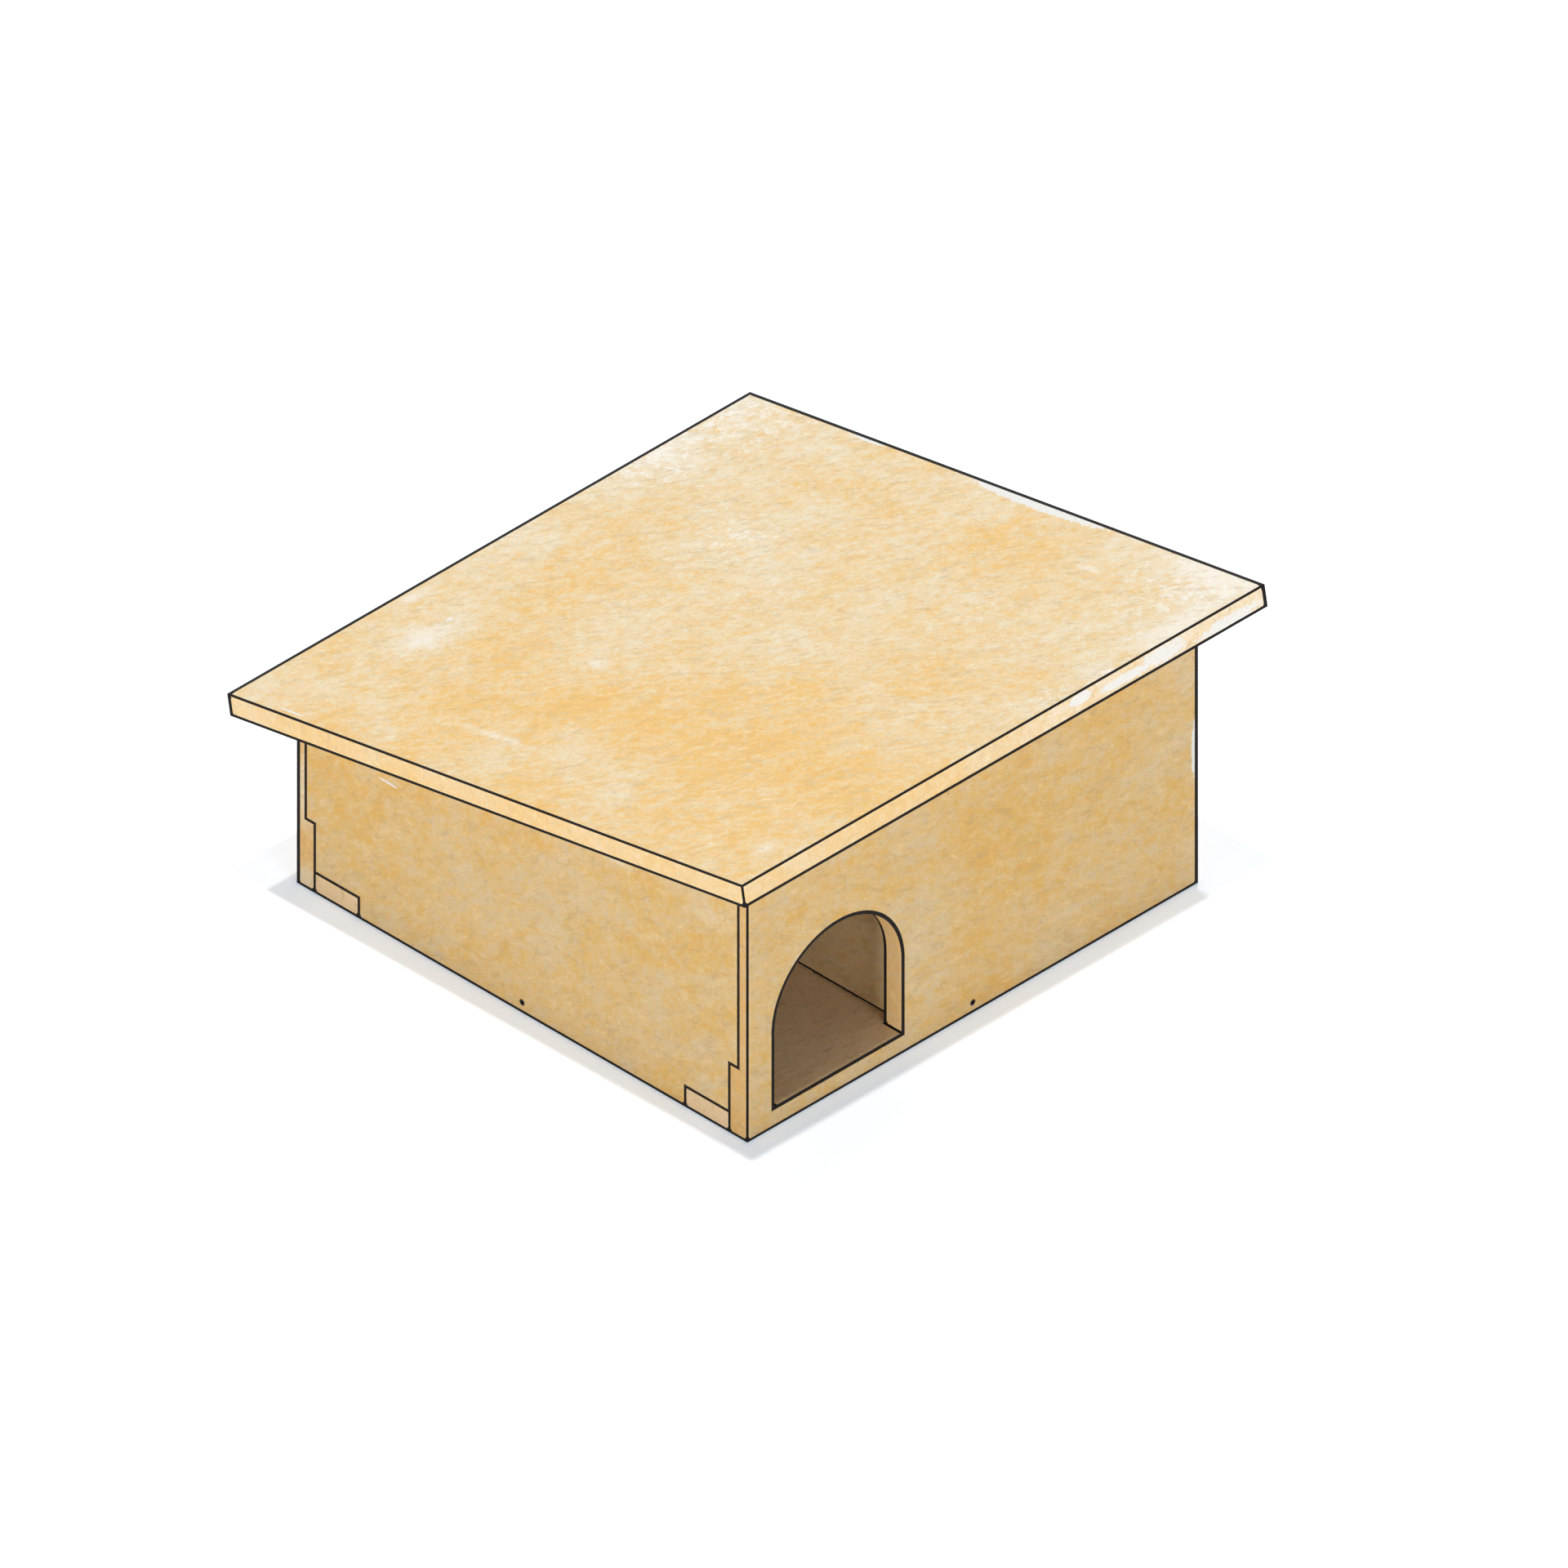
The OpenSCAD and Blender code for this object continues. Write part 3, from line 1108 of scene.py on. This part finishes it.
def black_steel():
    """A black coat on steel, rubbed through in small patches."""
    material = bpy.data.materials.new("black_coated_steel")
    material.use_nodes = True
    tree = material.node_tree
    place = add_node(tree, "ShaderNodeTexCoord", {}, {}, "Object")
    rubbed = noise(place, per_metre=900, detail=4, roughness=0.65).rise(start=0.58, full=0.7)
    colour = mix_colours(rubbed, linear(30, 28, 27), linear(92, 88, 84))
    pitting = noise(place, per_metre=4000)
    sockets = {"Strength": PITTING_STRENGTH, "Distance": PITTING_DEPTH, "Height": pitting}
    bump = add_node(tree, "ShaderNodeBump", {}, sockets)
    roughness = SATIN + rubbed * RUBBED_ROUGHER
    fill(tree.nodes["Principled BSDF"],
         {"Base Color": colour, "Roughness": roughness, "Normal": bump, "Metallic": METAL_SHARE})
    return material


steel = black_steel()
print("The steel has", len(steel.node_tree.nodes), "nodes")

# %% [markdown]
# ## The screws on their bodies
# The screw tree runs once for the walls' screws and once for the battens' screws, which move with the
# roof. Its result is kept as a plain mesh, and the object that held the points is removed.

# %% Make the screws
def make_screws(node, places):
    """Runs the screw tree on a point for each screw of a CAD node and keeps the result as a plain mesh."""
    points = bpy.data.meshes.new(node + "_points")
    points.from_pydata([head for head, tip in places], [], [])
    turns = [angle for head, tip in places for angle in (tip - head).to_track_quat("Z", "Y").to_euler()]
    add_values(points, "turn", "FLOAT_VECTOR", "POINT", turns)
    maker = add_object(node + "_maker", points)
    modifier = maker.modifiers.new("screws", "NODES")
    modifier.node_group = screws_on_points
    head, tip = places[0]
    values = {"Length": (tip - head).length, "Finish": steel, **SCREW_SIZES}
    for item in screws_on_points.interface.items_tree:
        if item.name in values:
            modifier[item.identifier] = values[item.name]

    evaluated = maker.evaluated_get(bpy.context.evaluated_depsgraph_get())
    mesh = bpy.data.meshes.new_from_object(evaluated)
    bpy.data.objects.remove(maker)
    mesh.shade_smooth()
    mesh.set_sharp_from_angle(angle=SHARP)
    return add_object(node + "_threaded", mesh)


for node, places in places_of_screws.items():
    piece = make_screws(node, places)
    stand_in(piece, node)
    print(piece.name, "has", len(piece.data.polygons), "faces")

# %% [markdown]
# ## The stage
# A white floor under even light. The floor glows a little to the camera, so that it looks white without
# any stronger light on the house. The glow is cool, because the walls throw some of their own warm light
# back onto the floor beside them.

# %% Lay the floor
FLOOR_HALF = 8
FLOOR_GLOW = (0.24, 0.31, 0.385, 1)
FLOOR_BOUNCE = (0.8, 0.8, 0.8, 1)
WHITE = (1, 1, 1, 1)


def seen_rays(tree):
    """1 for what the camera sees straight, in a gloss or through glass, and 0 for bouncing light."""
    seen = 0
    for kind in ("Is Camera Ray", "Is Glossy Ray", "Is Transmission Ray"):
        seen = add_node(tree, "ShaderNodeLightPath", {}, {}, kind).at_least(seen)
    return seen


def floor_material():
    """A white floor that glows to the camera and throws back a little less light than it shows."""
    material = bpy.data.materials.new("ground")
    material.use_nodes = True
    tree = material.node_tree
    tree.nodes.remove(tree.nodes["Principled BSDF"])
    glow = add_node(tree, "ShaderNodeEmission", {}, {"Color": FLOOR_GLOW, "Strength": 1})
    seen = add_node(tree, "ShaderNodeBsdfDiffuse", {}, {"Color": WHITE})
    lit = add_node(tree, "ShaderNodeBsdfDiffuse", {}, {"Color": FLOOR_BOUNCE})
    shown = add_node(tree, "ShaderNodeAddShader", {}, {0: glow, 1: seen})
    surface = add_node(tree, "ShaderNodeMixShader", {}, {0: seen_rays(tree), 1: lit, 2: shown})
    fill(tree.nodes["Material Output"], {"Surface": surface})
    return material


floor_corners = [(x * FLOOR_HALF, y * FLOOR_HALF, 0) for x, y in ((-1, -1), (1, -1), (1, 1), (-1, 1))]
floor_mesh = bpy.data.meshes.new("ground")
floor_mesh.from_pydata(floor_corners, [], [range(len(floor_corners))])
floor_mesh.materials.append(floor_material())
ground = add_object("ground", floor_mesh)
print("The floor is", 2 * FLOOR_HALF, "m wide")

# %% Open the sky
SKY_LEVEL = 0.26

world = bpy.data.worlds.new("sky")
bpy.context.scene.world = world
world.use_nodes = True
strength = seen_rays(world.node_tree) * (1 - SKY_LEVEL) + SKY_LEVEL
fill(world.node_tree.nodes["Background"], {"Color": WHITE, "Strength": strength})
print("The sky is white to the camera and lights the house at", SKY_LEVEL)

# %% [markdown]
# ## The light
# Two weak suns stand nearly overhead and lean apart, so that the floor loses the light of both only in a
# narrow band along the front and the left wall, where the house drops its short grey shadow. Four low
# suns fill in the walls, at levels that give the front and the left wall one tone, as in the picture.

# %% Light the house
# Where each sun shines from, its level, and how wide it is in degrees
SUNS = {
    "overhead_left": ((-0.095, -0.065, 1), 0.355, 1.5),
    "overhead_right": ((0.185, 0.15, 1), 0.255, 1.5),
    "left_fill": ((-1, -0.2, 0.05), 0.44, 10),
    "right_fill": ((1, 0.2, 0.05), 0.44, 10),
    "front_fill": ((-0.3, -1, 0.12), 0.53, 30),
    "back_fill": ((0.12, 1, 0.05), 0.42, 10),
}


def add_sun(name, shines_from, level, spread):
    """A soft sun. A level of 1 lights a white surface that faces it to full white."""
    sun = add_object(name, bpy.data.lights.new(name, "SUN"))
    sun.data.energy = level * math.pi
    sun.data.angle = math.radians(spread)
    sun.rotation_mode = "QUATERNION"
    sun.rotation_quaternion = Vector(shines_from).to_track_quat("Z", "Y")


for name, (shines_from, level, spread) in SUNS.items():
    add_sun(name, shines_from, level, spread)
bpy.context.scene.view_settings.view_transform = "Standard"
print(len(SUNS), "suns light the house")

# %% [markdown]
# ## The sizes
# Dressing the boards must not change the size of the house.
